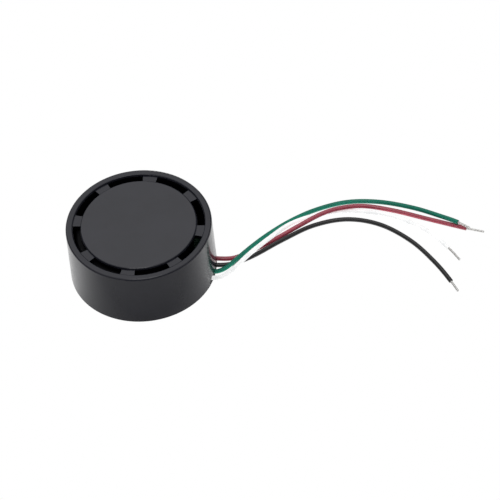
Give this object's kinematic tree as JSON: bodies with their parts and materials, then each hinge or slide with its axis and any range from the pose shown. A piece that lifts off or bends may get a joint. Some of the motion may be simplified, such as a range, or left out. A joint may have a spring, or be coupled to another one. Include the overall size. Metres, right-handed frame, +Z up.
{
  "type": "vibration motor",
  "caption": "Squat round brushless vibration motor: black moulded can with a vented top, an outer rotor with an eccentric weight, and flying leads with stripped ends.",
  "frame": {"origin": "centre of the flat underside of the base plate, on the spin axis", "axes": "+Z up along the spin axis towards the vented top, +X the way the leads leave, +Y to the left of the leads seen from above"},
  "size_m": [0.0665, 0.0298, 0.0104],
  "materials": {
    "housing_plastic": "semi-gloss moulded black",
    "base_plastic": "satin moulded black",
    "brass": "turned",
    "sintered_bronze": "porous, oil filled",
    "bearing_plastic": "low-friction nylon",
    "lamination_steel": "stamped laminations",
    "insulator_plastic": "moulded nylon",
    "magnet_wire": "enamelled copper",
    "tinned_copper": "tinned",
    "board_laminate": "solder mask",
    "chip_epoxy": "moulded epoxy",
    "capacitor_ceramic": "fired ceramic",
    "solder": "reflowed",
    "sealant": "cured adhesive",
    "insulation_red": "extruded insulation",
    "insulation_black": "extruded insulation",
    "insulation_green": "extruded insulation",
    "insulation_white": "extruded insulation",
    "shaft_steel": "ground",
    "coated_steel": "black coated steel",
    "magnet": "bonded magnet",
    "weight_coating": "black coated heavy metal"
  },
  "bodies": {
    "stator": {"housing_shell": "housing_plastic", "base_plate": "base_plastic", "bearing_tube": "brass", "sleeve_bearing": "sintered_bronze", "thrust_pad": "bearing_plastic", "thrust_washer": "bearing_plastic", "stator_core": "lamination_steel", "stator_insulator_top": "insulator_plastic", "stator_insulator_bottom": "insulator_plastic", "stator_coils": "magnet_wire", "winding_pins": "tinned_copper", "circuit_board": "board_laminate", "driver_chip": "chip_epoxy", "hall_sensor": "chip_epoxy", "chip_capacitors": "capacitor_ceramic", "chip_resistors": "chip_epoxy", "solder_joints": "solder", "lead_sealant": "sealant", "lead_red": "insulation_red", "lead_black": "insulation_black", "lead_green": "insulation_green", "lead_white": "insulation_white", "conductor_red": "tinned_copper", "conductor_black": "tinned_copper", "conductor_green": "tinned_copper", "conductor_white": "tinned_copper"},
    "rotor": {"rotor_shaft": "shaft_steel", "rotor_hub": "brass", "rotor_cup": "coated_steel", "ring_magnet": "magnet", "eccentric_weight": "weight_coating", "weight_rivets": "coated_steel", "retaining_ring": "shaft_steel"}
  },
  "joints": [
    {"name": "rotor_spin", "type": "hinge", "parent": "stator", "child": "rotor", "pos_m": [0, 0, 0], "axis": [0, 0, 1], "continuous": true}
  ]
}
